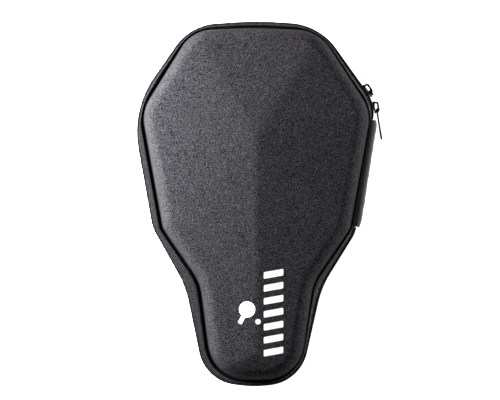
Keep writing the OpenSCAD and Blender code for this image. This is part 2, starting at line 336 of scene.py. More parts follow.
def wire_piece(name, lines, radius, finish, body, stands_for=(), sides=6):
    """Round thread or wire along lists of points."""
    curve = bpy.data.curves.new(name, "CURVE")
    curve.dimensions = "3D"
    curve.bevel_depth = radius * MM
    curve.bevel_resolution = max(0, sides // 2 - 2)
    curve.use_fill_caps = True
    for points in lines:
        spline = curve.splines.new("POLY")
        spline.points.add(len(points) - 1)
        for knot, point in zip(spline.points, points):
            knot.co = (point[0] * MM, point[1] * MM, point[2] * MM, 1)
    drawn = bpy.data.objects.new(name + "_line", curve)
    add_to_scene(drawn)
    bpy.context.view_layer.update()
    mesh = bpy.data.meshes.new_from_object(drawn.evaluated_get(bpy.context.evaluated_depsgraph_get()))
    bpy.data.objects.remove(drawn)
    mesh.name = name
    return dress(name, mesh, finish, body, stands_for, 60)


def add_block(bm, size, centre, bevel, segments=3, taper=1.0, place=Matrix()):
    """A box with rounded edges, its -x end narrowed across z by a factor."""
    made = bmesh.ops.create_cube(bm, size=1)["verts"]
    for vert in made:
        vert.co = Vector([c * s for c, s in zip(vert.co, size)])
        if vert.co.x < 0:
            vert.co.z *= taper
    edges = {edge for vert in made for edge in vert.link_edges}
    rounded = bmesh.ops.bevel(bm, geom=list(edges), offset=bevel, affect="EDGES", segments=segments,
                              profile=0.5, material=-1, clamp_overlap=True)
    verts = {vert for face in rounded["faces"] for vert in face.verts}
    verts |= {vert for vert in made if vert.is_valid}
    for vert in verts:
        vert.co = place @ (vert.co + Vector(centre))


# ---------------- finishes

class Value:
    """A number or colour that flows through a finish, so that sums and products can be written."""

    def __init__(self, finish, socket):
        self.finish = finish
        self.socket = socket

    def work(self, operation, *others):
        inputs = dict(enumerate((self, *others)))
        return self.finish.node("ShaderNodeMath", {"operation": operation}, inputs)

    def back(self, operation, other):
        return self.finish.node("ShaderNodeMath", {"operation": operation}, {0: other, 1: self})

    def __add__(self, other):
        return self.work("ADD", other)

    def __sub__(self, other):
        return self.work("SUBTRACT", other)

    def __mul__(self, other):
        return self.work("MULTIPLY", other)

    def __rsub__(self, other):
        return self.back("SUBTRACT", other)

    __radd__ = __add__
    __rmul__ = __mul__

    def clamped(self):
        return self.finish.node("ShaderNodeClamp", {}, {"Value": self})

    def sine(self):
        return self.work("SINE")


class Finish:
    """A procedural material."""

    def __init__(self, name, **uniform):
        self.material = bpy.data.materials.new(name)
        self.material.use_nodes = True
        self.tree = self.material.node_tree
        self.shader = self.tree.nodes["Principled BSDF"]
        for socket, value in uniform.items():
            self.shader.inputs[socket.replace("_", " ")].default_value = value

    def node(self, kind, settings, inputs, output=0):
        made = self.tree.nodes.new(kind)
        for setting, value in settings.items():
            if setting == "stops":
                self.set_stops(made.color_ramp, value)
            else:
                setattr(made, setting, value)
        for key, value in inputs.items():
            self.feed(made.inputs[key], value)
        return Value(self, made.outputs[output])

    def set_stops(self, ramp, stops):
        while len(ramp.elements) < len(stops):
            ramp.elements.new(0.5)
        for element, (position, level) in zip(ramp.elements, stops):
            element.position = position
            element.color = (level, level, level, 1)

    def feed(self, socket, value):
        if isinstance(value, Value):
            self.tree.links.new(value.socket, socket)
        else:
            socket.default_value = value

    def set(self, **inputs):
        for socket, value in inputs.items():
            self.feed(self.shader.inputs[socket.replace("_", " ")], value)

    def where(self, turn=(0, 0, 0), stretch=(1, 1, 1)):
        spot = self.node("ShaderNodeTexCoord", {}, {}, "Object")
        return self.node("ShaderNodeMapping", {}, {"Vector": spot, "Rotation": turn, "Scale": stretch})

    def laid(self):
        return self.node("ShaderNodeUVMap", {"uv_map": "layout"}, {})

    def mark(self, name):
        """A number from 0 to 1 stored on the piece's own points."""
        return self.node("ShaderNodeAttribute", {"attribute_name": name}, {}, "Fac")

    def grain(self, size, spot=None, detail=2.0, rough=0.5):
        """Cloudy variation from 0 to 1 with blots of about this size in millimetres."""
        return self.node("ShaderNodeTexNoise", {}, {
            "Vector": spot or self.where(), "Scale": 1 / (size * MM),
            "Detail": detail, "Roughness": rough})

    def ribs(self, spot, axis, pitch):
        """A smooth wave from 0 to 1 along one axis of a position."""
        part = self.node("ShaderNodeSeparateXYZ", {}, {"Vector": spot}, "XYZ".index(axis))
        return (part * (2 * math.pi / (pitch * MM))).sine() * 0.5 + 0.5

    def ramp(self, factor, *stops):
        return self.node("ShaderNodeValToRGB", {"stops": stops}, {"Fac": factor})

    def mix(self, factor, dark, light):
        def colour(value):
            return value if isinstance(value, Value) else (*value, 1)
        return self.node("ShaderNodeMix", {"data_type": "RGBA"}, {
            0: factor, 6: colour(dark), 7: colour(light)}, 2)

    def bump(self, height, depth, strength=1.0, under=None):
        inputs = {"Height": height, "Distance": depth * MM, "Strength": strength}
        if under:
            inputs["Normal"] = under
        return self.node("ShaderNodeBump", {}, inputs)


def heathered_laminate():
    finish = Finish("heathered_laminate", Specular_IOR_Level=0.05)
    blots = finish.grain(2.6, detail=1)
    flecks = finish.grain(0.78, detail=1, rough=0.6)
    fine = finish.grain(0.5, detail=1)
    speckle = blots * 0.08 + flecks * 0.72 + fine * 0.20
    tone = finish.ramp(speckle, (0.44, 0.0), (0.50, 0.36), (0.60, 1.0))
    cloud = finish.grain(60, detail=1)
    base = finish.mix(tone, (0.0026, 0.0026, 0.0029), (0.0420, 0.0413, 0.0460))
    base = finish.mix(cloud * 0.1, base, (0.0150, 0.0148, 0.0170))
    # Painted light: a lighter copy of the same grain, laid on where the skin's second mark is set.
    light = finish.mix(tone, (0.08, 0.08, 0.081), (0.21, 0.208, 0.212))
    base = finish.mix(finish.mark("pale"), base, light)
    # Painted shade: mixed towards near black where the crease mark is set.
    finish.set(Base_Color=finish.mix(finish.mark("crease") * 0.9, base, (0.0010, 0.0010, 0.0011)),
               Roughness=0.80 + tone * 0.12,
               Normal=finish.bump(flecks + fine * 0.4, 0.05, 0.35))
    return finish.material


def knit_lining():
    finish = Finish("knit_lining", Sheen_Weight=0.06, Sheen_Roughness=0.5, Specular_IOR_Level=0.15)
    across = finish.ribs(finish.where(), "X", 1.3)
    along = finish.ribs(finish.where(), "Y", 0.9)
    loops = (across * along).clamped()
    fluff = finish.grain(0.7, detail=3)
    wear = finish.grain(35, detail=2)
    tone = (loops * 0.5 + fluff * 0.5).clamped()
    base = finish.mix(tone, (0.016, 0.016, 0.018), (0.060, 0.060, 0.065))
    finish.set(Base_Color=finish.mix(wear * 0.3, base, (0.045, 0.045, 0.048)),
               Roughness=0.78 + fluff * 0.15,
               Normal=finish.bump(loops + fluff * 0.4, 0.22, 0.8))
    return finish.material


def woven_tape():
    finish = Finish("woven_tape", Specular_IOR_Level=0.12)
    spot = finish.laid()
    warp = finish.ribs(spot, "Y", 0.7)
    weft = finish.ribs(spot, "X", 0.5)
    fluff = finish.grain(0.5, detail=2)
    weave = warp * 0.6 + weft * 0.4
    tone = weave * 0.6 + fluff * 0.4
    finish.set(Base_Color=finish.mix(tone, (0.0030, 0.0030, 0.0034), (0.0160, 0.0160, 0.0175)),
               Roughness=0.7 + fluff * 0.15,
               Normal=finish.bump(weave, 0.12, 0.8))
    return finish.material


def satin_coil():
    finish = Finish("satin_coil", Specular_IOR_Level=0.35)
    streak = finish.grain(0.8, finish.where(stretch=(1, 1, 3)), detail=2)
    dust = finish.grain(9, detail=2)
    finish.set(Base_Color=finish.mix(streak, (0.004, 0.004, 0.0045), (0.012, 0.012, 0.013)),
               Roughness=0.34 + streak * 0.12 + dust * 0.12,
               Normal=finish.bump(streak, 0.03, 0.5))
    return finish.material


def spun_thread(name, dark, light):
    finish = Finish(name, Specular_IOR_Level=0.15)
    twist = finish.ribs(finish.where(turn=(0.4, 0.7, 0.9)), "X", 0.3)
    fluff = finish.grain(0.4, detail=2)
    finish.set(Base_Color=finish.mix(twist * 0.5 + fluff * 0.5, dark, light),
               Roughness=0.55 + fluff * 0.2,
               Normal=finish.bump(twist + fluff * 0.5, 0.05, 0.7))
    return finish.material


def hinge_cloth():
    finish = Finish("hinge_cloth", Sheen_Weight=0.04, Sheen_Roughness=0.5, Specular_IOR_Level=0.12)
    spot = finish.laid()
    warp = finish.ribs(spot, "Y", 0.8)
    weft = finish.ribs(spot, "X", 0.65)
    fluff = finish.grain(0.6, detail=3)
    cloud = finish.grain(14, detail=2)
    weave = warp * 0.5 + weft * 0.5
    tone = (weave * 0.45 + fluff * 0.6 + cloud * 0.2 - 0.1).clamped()
    finish.set(Base_Color=finish.mix(tone, (0.034, 0.0300, 0.0295), (0.092, 0.0820, 0.0805)),
               Roughness=0.75 + fluff * 0.15,
               Normal=finish.bump(weave + fluff * 0.5, 0.16, 0.8))
    return finish.material


def black_enamel():
    finish = Finish("black_enamel", Coat_Roughness=0.35, Specular_IOR_Level=0.1)
    scuff = finish.grain(1.4, detail=4, rough=0.7)
    orange_peel = finish.grain(0.35, detail=1)
    worn = finish.ramp(scuff, (0.64, 0.0), (0.70, 1.0))
    finish.set(Base_Color=finish.mix(worn, (0.0016, 0.0016, 0.0018), (0.04, 0.04, 0.042)),
               Metallic=worn * 0.8,
               Roughness=0.48 + orange_peel * 0.08 + worn * 0.12,
               Coat_Weight=(1 - worn) * 0.02,
               Normal=finish.bump(orange_peel, 0.02, 0.5))
    return finish.material


def ribbed_elastic():
    finish = Finish("ribbed_elastic", Sheen_Weight=0.04, Specular_IOR_Level=0.2)
    spot = finish.laid()
    ribs = finish.ribs(spot, "Y", 1.25)
    picks = finish.ribs(spot, "X", 0.55)
    fluff = finish.grain(0.5, detail=2)
    weave = ribs * 0.7 + picks * 0.3
    tone = weave * 0.7 + fluff * 0.3
    finish.set(Base_Color=finish.mix(tone, (0.006, 0.006, 0.007), (0.034, 0.034, 0.037)),
               Roughness=0.62 + fluff * 0.2,
               Normal=finish.bump(weave, 0.3, 0.9))
    return finish.material


def net_yarn():
    finish = Finish("net_yarn", Sheen_Weight=0.04, Specular_IOR_Level=0.2)
    twist = finish.ribs(finish.where(turn=(0, 0, math.pi / 4)), "X", 0.45)
    fluff = finish.grain(0.45, detail=2)
    tone = twist * 0.5 + fluff * 0.5
    finish.set(Base_Color=finish.mix(tone, (0.010, 0.010, 0.011), (0.045, 0.045, 0.049)),
               Roughness=0.65 + fluff * 0.2,
               Normal=finish.bump(twist, 0.08, 0.8))
    return finish.material


def white_ink():
    finish = Finish("white_ink", Specular_IOR_Level=0.4)
    cover = finish.grain(0.9, detail=3, rough=0.6)
    pinholes = finish.ramp(finish.grain(0.5, detail=2), (0.22, 1.0), (0.30, 0.0))
    ink = finish.mix(cover, (0.80, 0.80, 0.80), (0.95, 0.95, 0.955))
    finish.set(Base_Color=finish.mix(pinholes * 0.5, ink, (0.45, 0.45, 0.46)),
               Roughness=0.48 + cover * 0.15,
               Normal=finish.bump(cover, 0.04, 0.5))
    return finish.material


LAMINATE = heathered_laminate()
KNIT = knit_lining()
WOVEN = woven_tape()
COIL = satin_coil()
BLACK_THREAD_AND_GROOVE_SHADE = spun_thread("black_thread_and_groove_shade", (0.0005, 0.0005, 0.0006), (0.0040, 0.0040, 0.0045))
TACK_THREAD = spun_thread("grey_thread", (0.02, 0.02, 0.021), (0.075, 0.075, 0.078))
HINGE = hinge_cloth()
ENAMEL = black_enamel()
ELASTIC = ribbed_elastic()
NET = net_yarn()
INK = white_ink()


# ---------------- the two mouldings

SAMPLES = 600
foot_walk = FOOT.walk(SAMPLES)
shell_edge = [point - out * TAPE for point, out in FLANGE.walk(800)]


def reach(point, out):
    """Distance from the wall's foot, outwards, to the flange's cut edge."""
    end = point + out * 40
    sides = zip(shell_edge, shell_edge[1:] + shell_edge[:1])
    hits = [intersect_line_line_2d(a, b, point, end) for a, b in sides]
    return min((hit - point).length for hit in hits if hit)


EDGE = [reach(point, out) for point, out in foot_walk]
DROOP_SLOPE = 0.015
DROOP_MOST = 0.4
# The zip side is pressed tighter: a narrower groove, a foot further out and a rounder edge.
TIGHT = [max(0.0, out.x) for _, out in foot_walk]
GROOVE = [min(1.15, max(0.5, 0.3 * edge)) * (1 - 0.5 * tight) for edge, tight in zip(EDGE, TIGHT)]
WALL_FOOT = [WALL_FOOT_INSET - 0.8 * tight for tight in TIGHT]
DROOP = [min(DROOP_MOST, DROOP_SLOPE * (edge - half)) for edge, half in zip(EDGE, GROOVE)]
edge_finder = kdtree.KDTree(SAMPLES)
for number, (spot, way) in enumerate(foot_walk):
    edge_finder.insert((spot + way * EDGE[number]).to_3d(), number)
edge_finder.balance()


def droop_near(point):
    """How far the flange's edge hangs under its face, near a point of the flange's outline."""
    near = edge_finder.find_n(point.to_3d(), 3)
    return sum(DROOP[number] for _, number, _ in near) / len(near)


def ring(offset, height, top=None):
    """A ring round the wall's foot, moved out and up. Values are numbers or one for each sample."""
    places = []
    for i, (point, out) in enumerate(foot_walk):
        spot = point + out * (offset[i] if isinstance(offset, list) else offset)
        up = height[i] if isinstance(height, list) else height
        if top:
            up += top(spot.x, spot.y)
        places.append((spot.x, spot.y, up))
    return places


def rim_rings(depth, top, angles):
    """The rounded rim at a depth under the outer face."""
    radius = EDGE_RADIUS - depth
    rings = []
    for degrees in angles:
        angle = math.radians(degrees)
        inset = WALL_TOP_INSET + depth + radius * (1 - math.cos(angle))
        rings.append(ring(-inset, -depth - radius * (1 - math.sin(angle)), top))
    return rings


def flange_rings():
    """From the mating face, round the drooping edge and the groove, to the wall's foot."""
    width = [edge - half for edge, half in zip(EDGE, GROOVE)]
    soft = [min(0.7 + 1.8 * tight, 0.75 * w) for w, tight in zip(width, TIGHT)]
    rings = [ring([e - 0.35 for e in EDGE], -FLANGE_THICKNESS),
             ring(EDGE, [0.35 - 0.2 * tight - FLANGE_THICKNESS for tight in TIGHT])]
    for degrees in (0, 30, 60, 90):
        angle = math.radians(degrees)
        rings.append(ring([e - s * (1 - math.cos(angle)) for e, s in zip(EDGE, soft)],
                          [-d - s * (1 - math.sin(angle)) for d, s in zip(DROOP, soft)]))
    for share in (0.75, 0.5, 0.25):
        rings.append(ring([g + share * (w - s) for g, w, s in zip(GROOVE, width, soft)],
                          [-d * share + 0.12 * (1 - (2 * share - 1) ** 2) for d in DROOP]))
    rings.append(ring([g + min(0.3, 0.15 * w) for g, w in zip(GROOVE, width)], -0.02))
    rings.append(ring(GROOVE, -0.3))
    rings.append(ring([0.6 * g for g in GROOVE], -GROOVE_DEPTH))
    rings.append(ring([0.4 - foot for foot in WALL_FOOT], -GROOVE_DEPTH))
    rings.append(ring([0.1 - foot for foot in WALL_FOOT], -0.6))
    rings.append(ring([-0.1 - foot for foot in WALL_FOOT], 0.5))
    return rings


RIM_STEPS = range(0, 91, 9)
# Painted shade on the flange's edge, the wall and the rim, from the edge inwards, and painted light on the
# flange's face.
EDGE_SHADES = (0.6, 0.6, 0.5, 0.4, 0.2)
WALL_SHADE = 0.9
RIM_SHADE = 0.8
FACE_PAINTED_LIGHT = 0.9


def paint_shade(skin, row, most):
    """Paints shade on a row, most of all on the side away from the zip's ends."""
    for vert, (_, out) in zip(row, foot_walk):
        vert[skin.crease] = most * (1 - out.x) / 2


def moulding(name, top, face, way, body, node):
    skin = Sweep(rim_rings(WALL, top, [90])[0])
    for places in rim_rings(WALL, top, [60, 30, 0]):
        skin.draw(places)
    skin.draw(ring(-WALL_FOOT_INSET - WALL, -FLANGE_THICKNESS))
    for places in flange_rings():
        skin.draw(places)
    edge_rows, face_rows, groove_rows = skin.rows[-13:-8], skin.rows[-12:-5], skin.rows[-5:]
    # Painted shade in the groove: its faces take the black thread finish and its points the full crease
    # mark.
    groove = {vert for row in groove_rows for vert in row}
    for side in skin.bm.faces:
        if all(vert in groove for vert in side.verts):
            side.material_index = 1
    for vert in groove:
        vert[skin.crease] = 1.0
    # Painted shade on the flange's rounded outer edge.
    for row, share in zip(edge_rows, EDGE_SHADES):
        paint_shade(skin, row, share)
    # Painted light on the flange's face, strongest where the outline faces +x.
    for row in face_rows:
        for vert, tight in zip(row, TIGHT):
            vert[skin.pale] = FACE_PAINTED_LIGHT * tight
    first_wall = ring([-0.1 - foot for foot in WALL_FOOT], 0.5)
    last_wall = rim_rings(0, top, [0])[0]
    # Painted shade on the lower wall.
    for share in (0.3, 0.65):
        skin.draw([Vector(a).lerp(Vector(b), share) for a, b in zip(first_wall, last_wall)])
        paint_shade(skin, skin.rows[-1], WALL_SHADE - 0.1 * share)
    # Painted shade on the rim, strongest next to the wall and gone by 70 degrees.
    for degrees, places in zip(RIM_STEPS, rim_rings(0, top, RIM_STEPS)):
        skin.draw(places)
        paint_shade(skin, skin.rows[-1], RIM_SHADE * max(0.0, 1 - degrees / 70))
    inside = skin.cap(skin.rows[0])
    outside = skin.cap(skin.rows[-1])
    slice_up(skin.bm, inside, COARSE_GRID, lambda x, y: top(x, y) - WALL)
    slice_up(skin.bm, outside, FINE_GRID, top)
    for vert in skin.bm.verts:
        vert.co.z = face + way * vert.co.z
    make_piece(name, skin.bm, [LAMINATE, BLACK_THREAD_AND_GROOVE_SHADE], body, [node], crease=50)


def lining(name, top, face, way, body, node):
    outer = WALL + LINING_GAP
    inner = outer + LINING
    skin = Sweep(rim_rings(outer, top, [90])[0])
    for places in rim_rings(outer, top, [45, 0]):
        skin.draw(places)
    skin.draw(ring(-WALL_FOOT_INSET - outer, -FLANGE_THICKNESS + 1))
    skin.draw(ring(-WALL_FOOT_INSET - (outer + inner) / 2, -FLANGE_THICKNESS + 0.8))
    skin.draw(ring(-WALL_FOOT_INSET - inner, -FLANGE_THICKNESS + 1))
    for places in rim_rings(inner, top, range(0, 91, 18)):
        skin.draw(places)
    outside = skin.cap(skin.rows[0])
    inside = skin.cap(skin.rows[-1])
    slice_up(skin.bm, outside, COARSE_GRID, lambda x, y: top(x, y) - outer)
    slice_up(skin.bm, inside, LINING_GRID, lambda x, y: top(x, y) - inner)
    for vert in skin.bm.verts:
        vert.co.z = face + way * vert.co.z
    make_piece(name, skin.bm, KNIT, body, [node], crease=60)


moulding("lid_moulding", lid_top, LID_FACE, 1, "lid", "front_shell")
moulding("tray_moulding", tray_top, TRAY_FACE, -1, "rear_tray", "rear_shell")
lining("lid_lining", lid_top, LID_FACE, 1, "lid", "front_lining")
lining("tray_lining", tray_top, TRAY_FACE, -1, "rear_tray", "rear_lining")

# ---------------- the zip

COIL_HEIGHT = 2.4
COIL_GAP = 1.6
zip_first = FLANGE.distance_at(*on_hinge(HINGE_HIGH_Y))
zip_last = FLANGE.distance_at(*on_hinge(HINGE_LOW_Y)) + FLANGE.length
zip_length = zip_last - zip_first
TAPE_SAMPLES = 620
tape_walk = FLANGE.walk(TAPE_SAMPLES, zip_first + 0.3, zip_last - 0.3)
tape_droop = [droop_near(point - out * TAPE) for point, out in tape_walk]
flange_walk = FLANGE.walk(SAMPLES)


def band(walk, inset, heights):
    return [(point - out * inset).to_tuple() + (height,) for (point, out), height in zip(walk, heights)]


def zip_tape(name, face, way, body, node):
    """Woven tape on the flange's edge. Its sewn side follows the drooping edge."""
    sewn = [face - way * (droop - 0.15) for droop in tape_droop]
    free = [MIDDLE + way * (COIL_GAP / 2 + COIL_HEIGHT)] * TAPE_SAMPLES
    ripple = [0.12 * noise.noise(Vector((i * 0.11, face, 0))) for i in range(TAPE_SAMPLES)]

    def row(inset, share, rise=0.0):
        heights = [s + (f - s) * share + way * rise for s, f in zip(sewn, free)]
        return [(point - out * (inset + wave * share)).to_tuple() + (height,)
                for (point, out), wave, height in zip(tape_walk, ripple, heights)]

    profile = [(0.15, 0, -0.25), (0.0, 0, -0.7), (0.12, 0.5, 0), (0.3, 1, 0), (0.9, 1, 0),
               (1.0, 0.5, 0), (1.1, 0, -0.7), (0.95, 0, -0.2), (0.55, 0, 0)]
    skin = sweep_section(row, profile, closed=False)
    skin.close_round(row(*profile[0]))
    make_piece(name, skin.bm, WOVEN, body, [node], crease=60)


zip_tape("lid_zip_tape", LID_FACE, 1, "lid", "front_zip_tape")
zip_tape("tray_zip_tape", TRAY_FACE, -1, "rear_tray", "rear_zip_tape")

TURN_PITCH = 1.5
TURN_POINTS = 9
WIRE = 0.34
CHAIN_MARGIN = 3
turns = int((zip_length - 2 * CHAIN_MARGIN) / TURN_PITCH)


def coil(name, way, shift, body, node):
    """One half of the chain: flat turns of wire that reach past the middle between the other half's."""
    high = COIL_GAP / 2 + COIL_HEIGHT - 0.1
    low = -1.0
    points = []
    for i in range(turns * TURN_POINTS):
        turn = i / TURN_POINTS
        angle = 2 * math.pi * turn
        lean = turn + 0.18 * math.sin(angle)
        point, out = FLANGE.at(zip_first + CHAIN_MARGIN + (lean + shift) * TURN_PITCH)
        spot = point - out * (1.25 - 0.8 * math.sin(angle))
        height = (high + low) / 2 + (high - low) / 2 * math.cos(angle)
        points.append((spot.x, spot.y, MIDDLE + way * height))
    wire_piece(name, [points], WIRE, COIL, body, [node])


coil("lid_zip_coil", 1, 0.0, "lid", "front_zip_coil")
coil("tray_zip_coil", -1, 0.5, "rear_tray", "rear_zip_coil")

# ---------------- binding and thread

BINDING = 0.6


def binding(name, rim, way, body, node):
    """Woven strip that covers the cut edge on a mating face."""
    outer, inner = TAPE + 0.2, TAPE + 4.4
    near = rim - way * 0.02
    far = rim - way * BINDING
    middle = (near + far) / 2

    def row(inset, height):
        return band(flange_walk, inset, [height] * SAMPLES)

    profile = [(outer, middle), (outer + 0.2, far), (outer + 1.5, far + way * 0.1),
               (inner - 1.3, far + way * 0.1), (inner - 0.2, far), (inner, middle),
               (inner - 0.2, near), (outer + 0.2, near)]
    skin = sweep_section(row, profile)
    skin.close_round(row(*profile[0]))
    make_piece(name, skin.bm, WOVEN, body, [node], crease=50)


binding("lid_seam_binding", LID_RIM, 1, "lid", "front_seam_binding")
binding("tray_seam_binding", TRAY_RIM, -1, "rear_tray", "rear_seam_binding")

STITCH = 2.6
STITCH_GAP = 0.7
STITCH_RISE = 0.16
SEAM_THREAD = 0.26
# Height of the hinge's lap over the flange's face.
LAP_TOP = 0.98
TACK_WIRE = 0.13
TACK_HALF = 0.62
TACK_TURNS = 19


def stitches_along(places, rise):
    """Thread beads that dip into the cloth at both ends: places is a list of starts, ends and lifts."""
    lines = []
    for start, end, up in places:
        lines.append([start - up * rise, start.lerp(end, 0.15) + up * rise * 0.5,
                      start.lerp(end, 0.5) + up * rise, start.lerp(end, 0.85) + up * rise * 0.5,
                      end - up * rise])
    return lines


def seam(name, face, way, body, node):
    up = Vector((0, 0, way))
    base = face - way * (GROOVE_DEPTH - 0.14)
    count = int(FOOT.length / (STITCH + STITCH_GAP))
    pitch = FOOT.length / count
    places = []
    for i in range(count):
        start, _ = FOOT.at(i * pitch)
        end, _ = FOOT.at(i * pitch + pitch - STITCH_GAP)
        places.append((Vector((*start, base)), Vector((*end, base)), up))
    top = face + way * LAP_TOP
    hinge_count = int((HINGE_HIGH_Y - HINGE_LOW_Y - 3) / (STITCH + STITCH_GAP))
    for i in range(hinge_count):
        start = on_hinge(HINGE_LOW_Y + 1.6 + i * (STITCH + STITCH_GAP)) - HINGE_OUT * 0.6
        end = start + HINGE_WAY * STITCH
        places.append((Vector((*start, top)), Vector((*end, top)), up))
    wire_piece(name, stitches_along(places, STITCH_RISE), SEAM_THREAD, BLACK_THREAD_AND_GROOVE_SHADE, body, [node])


seam("lid_seam_thread", LID_FACE, 1, "lid", "front_seam_thread")
seam("tray_seam_thread", TRAY_FACE, -1, "rear_tray", "rear_seam_thread")


def tacks(name, node, lift, body):
    """Close zigzag stitches beyond each end of the hinge."""
    low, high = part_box(node)
    middle = (low + high) / 2 / MM
    half = (HINGE_HIGH_Y - HINGE_LOW_Y) / HINGE_WAY.y / 2 + 1.6
    centre = on_hinge((HINGE_LOW_Y + HINGE_HIGH_Y) / 2)
    lines = []
    for side in (-1, 1):
        place = centre + HINGE_WAY * half * side - HINGE_OUT * 2.2
        points = []
        for i in range(TACK_TURNS):
            spot = place + HINGE_OUT * (-0.9 + 0.1 * i) + HINGE_WAY * (TACK_HALF if i % 2 else -TACK_HALF)
            points.append((spot.x, spot.y, middle.z + lift))
        lines.append(points)
    wire_piece(name, lines, TACK_WIRE, TACK_THREAD, body, [node])


tacks("lid_bar_tacks", "front_bar_tacks", -0.05, "lid")
tacks("tray_bar_tacks", "rear_bar_tacks", 0.05, "rear_tray")

# ---------------- the fabric hinge

HINGE_SAMPLES = 120
# Profile over the lid's flange: outwards from the flange line, and up from the middle.
HINGE_PROFILE = [(-1.0, 9.5), (-0.92, 9.82), (-0.5, 9.92), (0.0, 9.98), (0.9, 9.93), (1.9, 9.7),
                 (2.8, 9.15), (3.4, 8.0), (3.75, 6.5), (3.9, 4.8), (3.92, 3.2), (3.88, 1.6), (3.85, 0.0)]
HINGE_REACH = 3.9
HINGE_BULGE = 0.4
HINGE_SKIN = 0.8
CREASE_DEPTH = 0.42
PUCKER_DEPTH = 0.16


def hinge_panel():
    """A sewn strip that bellies out between the flanges, with small creases."""
    profile = HINGE_PROFILE + [(out, -up) for out, up in reversed(HINGE_PROFILE[:-1])]
    lap = []
    for i in range(HINGE_SAMPLES):
        place = on_hinge(HINGE_LOW_Y + i * (HINGE_HIGH_Y - HINGE_LOW_Y) / (HINGE_SAMPLES - 1))
        near = min(((place - point).length, i) for i, (point, _) in enumerate(foot_walk))
        lap.append(near[0] - GROOVE[near[1]] - 0.25)

    def row(out, up):
        places = []
        for i in range(HINGE_SAMPLES):
            share = i / (HINGE_SAMPLES - 1)
            y = HINGE_LOW_Y + 0.2 + share * (HINGE_HIGH_Y - HINGE_LOW_Y - 0.4)
            end_pull = min(1, share * 14, (1 - share) * 14)
            end_pull = math.sin(end_pull * math.pi / 2)
            lift = max(0.0, out) / HINGE_REACH
            crease = noise.noise(Vector((y * 0.16, up * 0.10, 3.1))) * CREASE_DEPTH
            pucker = noise.noise(Vector((y * 0.5, up * 0.22, 8.7))) * PUCKER_DEPTH
            inward = min(out, 0) * (lap[i] if out < 0 else 1)
            bulge = HINGE_BULGE * math.exp(-((share - 0.93) / 0.06) ** 2)
            outward = max(out, 0) * (0.7 + 0.3 * end_pull) + lift * (crease + pucker + bulge - 0.2)
            spot = on_hinge(y) + HINGE_OUT * (inward + outward)
            places.append((spot.x, spot.y, MIDDLE + up * (1 + 0.004 * crease)))
        return places

    skin = sweep_section(row, profile, closed=False)
    skin.lay_out()
    piece = make_piece("hinge_cloth_panel", skin.bm, HINGE, None, ["hinge_panel"], crease=60)
    probe = piece.data.polygons[len(piece.data.polygons) // 2]
    if probe.normal.dot(HINGE_OUT.to_3d()) < 0:
        piece.data.flip_normals()
    cloth = piece.modifiers.new("cloth", "SOLIDIFY")
    cloth.thickness = HINGE_SKIN * MM
    cloth.offset = -1
    return piece


hinge = hinge_panel()
hinge_spot = on_hinge((HINGE_LOW_Y + HINGE_HIGH_Y) / 2) + HINGE_OUT * 2
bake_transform(hinge, "rear_tray", "lid", start=(hinge_spot.x * MM, hinge_spot.y * MM, 0.020),
         end=(hinge_spot.x * MM, hinge_spot.y * MM, 0.032))

# ---------------- sliders and pulls

OUTER_GAP = 0.6
PLATE = 1.3
PLATE_OUT = OUTER_GAP + PLATE
INNER_FACE = 3.6
BAIL_RISE = 3.6
BAIL_BAR = 0.85
LEG_X = -3.85
PULL_OUT = PLATE_OUT + 0.5
PULL_THICKNESS = 1.2
UPPER_PLACE = Matrix.Translation((90.427, 93.673, MIDDLE)) @ Matrix.Rotation(math.radians(125.513), 4, "Z")
LOWER_PLACE = Matrix.Translation((96.495, 79.805, MIDDLE)) @ Matrix.Rotation(math.radians(99.169), 4, "Z")


def slider(name, place, body, node):
    """Two plates with turned-in edges, joined by a wedge, and a crown for the bail."""
    bm = bmesh.new()
    outer_y = -OUTER_GAP - PLATE / 2
    inner_y = INNER_FACE + PLATE / 2
    for y, way in ((outer_y, 1), (inner_y, -1)):
        add_block(bm, (10.4, PLATE - 0.2, 6.0), (0, y - way * 0.1, -0.5), 0.45, 3, 0.72, place)
        for z in (-3.3, 2.3):
            add_block(bm, (6.4, PLATE * 0.8, 0.7), (1.7, y + way * 0.12, z), 0.25, 2, 1, place)
    add_block(bm, (2.2, INNER_FACE + OUTER_GAP + PLATE, 1.0), (2.2, (INNER_FACE - OUTER_GAP) / 2, 0),
              0.3, 2, 0.6, place)
    add_block(bm, (1.6, 0.7, 2.2), (3.5, -PLATE_OUT - 0.1, 0), 0.25, 2, 1, place)
    add_block(bm, (1.6, 0.7, 2.2), (-3.7, -PLATE_OUT - 0.1, 0), 0.25, 2, 1, place)
    make_piece(name, bm, ENAMEL, body, [node], crease=35)


def bail(name, place, body, node):
    """A round bar bent into an arch on the outer plate."""
    out = PLATE_OUT + BAIL_RISE - BAIL_BAR
    foot = PLATE_OUT + 0.2
    corner = 1.7
    points = [(LEG_X, -foot)]
    for side, angles in ((-1, range(180, 269, 11)), (1, range(270, 361, 11))):
        for degrees in angles:
            angle = math.radians(degrees)
            points.append((side * (-LEG_X - corner) + corner * math.cos(angle), -out + corner
                           + corner * math.sin(angle)))
    points.append((-LEG_X, -foot))
    line = [place @ Vector((x, y, 0)) for x, y in points]
    wire_piece(name, [line], BAIL_BAR, ENAMEL, body, [node], sides=12)


PULL_LENGTH = 23.5
PULL_EYE = 1.75
PULL_OUTLINE = Outline([(2.5, 2.6, 1.7), (-6, 2.1, 5), (-13, 2.7, 8), (-PULL_LENGTH, 3.45, 2.2),
                        (-PULL_LENGTH, -3.45, 2.2), (-13, -2.7, 8), (-6, -2.1, 5), (2.5, -2.6, 1.7)])


